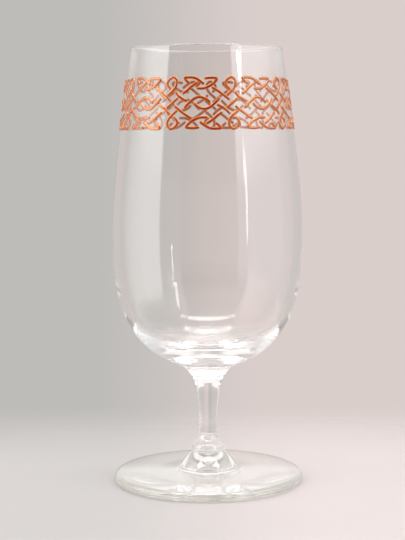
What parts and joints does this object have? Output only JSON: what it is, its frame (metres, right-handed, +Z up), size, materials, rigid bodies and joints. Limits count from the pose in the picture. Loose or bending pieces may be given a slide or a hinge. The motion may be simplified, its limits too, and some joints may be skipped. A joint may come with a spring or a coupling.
{
  "type": "beer glass",
  "caption": "Stemmed beer glass: a tall rounded bowl on a short solid stem and round foot, with a band of interlaced enamel strands below the rim.",
  "frame": {"origin": "centre of the foot's resting plane, where the axis of the glass meets the table", "axes": "+Z up along the axis of the glass, -Y towards the front of the picture, +X to the right"},
  "size_m": [0.0798, 0.0798, 0.182],
  "materials": {
    "clear_glass": "clear soda-lime glass, fire polished, with a faint green-grey tint where it is thick",
    "orange_enamel": "glossy fired vitreous enamel, burnt orange, slightly raised"
  },
  "bodies": {
    "root": {"foot": "clear_glass", "stem_collar": "clear_glass", "stem": "clear_glass", "bowl": "clear_glass", "knot_band": "orange_enamel"}
  },
  "joints": []
}
